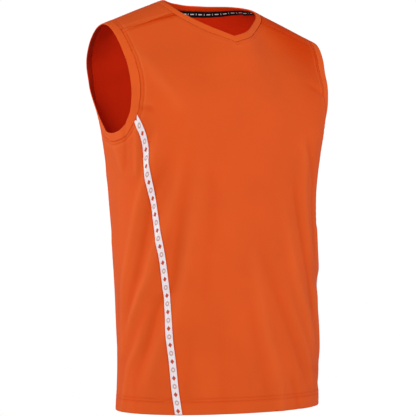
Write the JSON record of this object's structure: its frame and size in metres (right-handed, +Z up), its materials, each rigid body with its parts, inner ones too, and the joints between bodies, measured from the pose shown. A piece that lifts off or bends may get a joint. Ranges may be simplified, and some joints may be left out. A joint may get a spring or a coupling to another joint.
{
  "type": "padel tank top",
  "caption": "Sleeveless V-neck sports top of light knit, standing filled out as worn, with bound neck and armholes, a woven tape down each side seam and a level hem.",
  "frame": {"origin": "midway between the two high points of the shoulders, beside the neck, where the wearer's shoulders hold the top up", "axes": "+X to the wearer's left, -Y out of the chest, +Z up"},
  "size_m": [0.4306, 0.2785, 0.7044],
  "materials": {
    "panel_knit": "matt light polyester mesh knit, orange",
    "binding_knit": "matt folded knit binding, orange",
    "side_tape_weave": "woven tape, pale lilac white with a small rust and grey repeat",
    "neck_tape_weave": "woven tape, black"
  },
  "bodies": {
    "root": {"front": "panel_knit", "back": "panel_knit", "neckband": "binding_knit", "armhole_band_left": "binding_knit", "armhole_band_right": "binding_knit", "side_tape_left": "side_tape_weave", "side_tape_right": "side_tape_weave", "neck_tape": "neck_tape_weave"}
  },
  "joints": []
}
